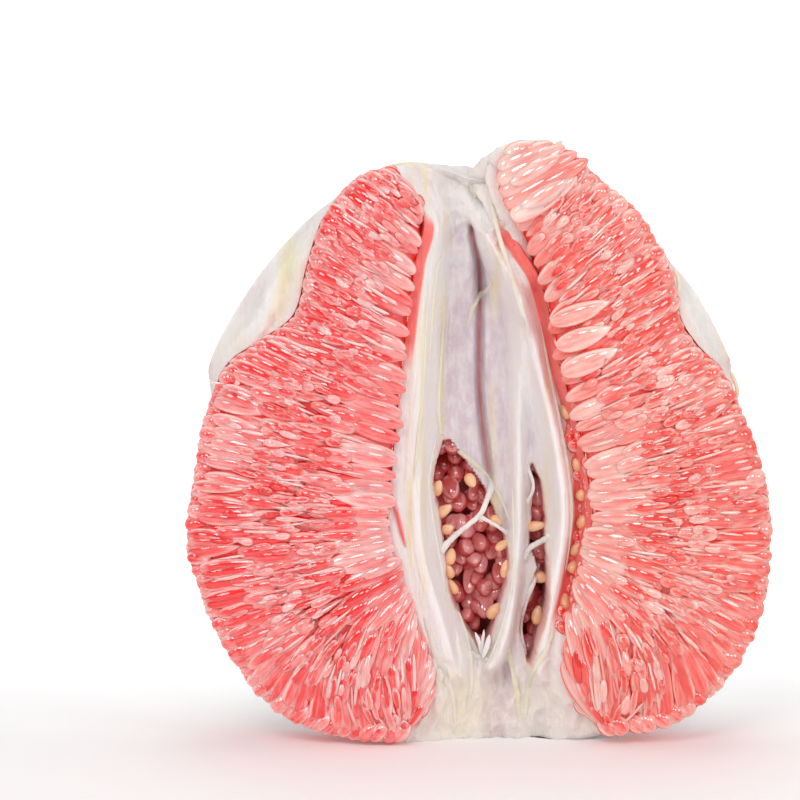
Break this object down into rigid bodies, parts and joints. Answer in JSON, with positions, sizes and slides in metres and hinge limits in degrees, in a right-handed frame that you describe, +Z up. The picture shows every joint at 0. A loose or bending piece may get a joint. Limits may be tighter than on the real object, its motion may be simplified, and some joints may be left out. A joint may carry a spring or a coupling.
{
  "type": "peeled pomelo half",
  "caption": "Peeled, torn-open half of a pomelo: bare pink juice sacs on both sides of a hollow white core, standing on its flattened lower end.",
  "frame": {"origin": "centre of the bounding box at the level of the flat foot", "axes": "+Z up along the fruit's core, -Y towards the open front, +X to the right seen from the front"},
  "size_m": [0.1388, 0.0796, 0.1425],
  "materials": {
    "white_skin": "soft white inner skin, slightly fibrous and matt",
    "left_flesh": "wet coral-red juice sacs",
    "right_flesh": "wet salmon-pink juice sacs",
    "deep_flesh": "wet dark-red juice sacs in shade"
  },
  "bodies": {
    "root": {"membrane": "white_skin", "flesh_left": "left_flesh", "flesh_right": "right_flesh", "flesh_wide_pocket": "deep_flesh", "flesh_narrow_pocket": "deep_flesh"}
  },
  "joints": []
}
